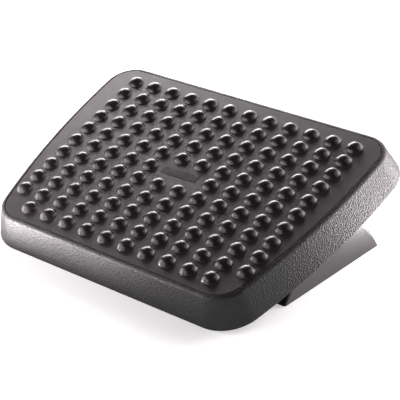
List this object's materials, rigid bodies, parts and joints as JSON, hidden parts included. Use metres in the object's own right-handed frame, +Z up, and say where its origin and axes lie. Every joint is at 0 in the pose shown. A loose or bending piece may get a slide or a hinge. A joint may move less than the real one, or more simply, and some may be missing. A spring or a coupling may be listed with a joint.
{
  "type": "tilting under desk footrest",
  "caption": "Rocking footrest: a rectangular platform with rows of round bumps tilts on a low leg with two pivot pins and rests on its front edge.",
  "frame": {"origin": "on the floor, under the middle of the footrest's box at rest", "axes": "+X to the user's right along the platform's width, +Y away from the user towards the high rear edge, +Z up"},
  "size_m": [0.4494, 0.3072, 0.1445],
  "materials": {
    "shell_plastic": "black polystyrene with a coarse pebble grain that shines where light grazes it",
    "tread_plastic": "charcoal plastic with a fine satin grain; its bumps are polished",
    "label_plastic": "bare gloss black",
    "bracket_plastic": "plain moulded black",
    "block_nylon": "natural nylon, smooth",
    "leg_plastic": "smooth black, slightly satin",
    "cheek_plastic": "smooth black with a satin sheen",
    "pin_steel": "bright ground steel",
    "clip_steel": "dark spring steel",
    "screw_steel": "zinc-plated steel",
    "washer_nylon": "natural nylon",
    "pad_rubber": "dark grey rubber"
  },
  "bodies": {
    "leg": {"leg_frame": "leg_plastic", "leg_cheek_left": "cheek_plastic", "leg_cheek_right": "cheek_plastic", "cheek_screws": "screw_steel", "pivot_pin_left": "pin_steel", "pivot_pin_right": "pin_steel", "pin_clips": "clip_steel", "spacer_washers": "washer_nylon", "foot_pads": "pad_rubber"},
    "pivot_blocks": {"pivot_block_left": "block_nylon", "pivot_block_right": "block_nylon"},
    "platform": {"platform_shell": "shell_plastic", "tread_plate": "tread_plastic", "label_plate": "label_plastic", "tread_screws": "screw_steel", "pivot_bracket_left": "bracket_plastic", "pivot_bracket_right": "bracket_plastic", "bracket_screws_left": "screw_steel", "bracket_screws_right": "screw_steel"}
  },
  "joints": [
    {"name": "platform_tilt", "type": "hinge", "parent": "leg", "child": "pivot_blocks", "pos_m": [0, 0.04005, 0.07851], "axis": [1, 0, 0], "range_deg": [-30, 0]},
    {"name": "height_slide", "type": "slide", "parent": "pivot_blocks", "child": "platform", "axis": [0, -0.3486, 0.9373], "range_m": [0, 0.024]}
  ]
}
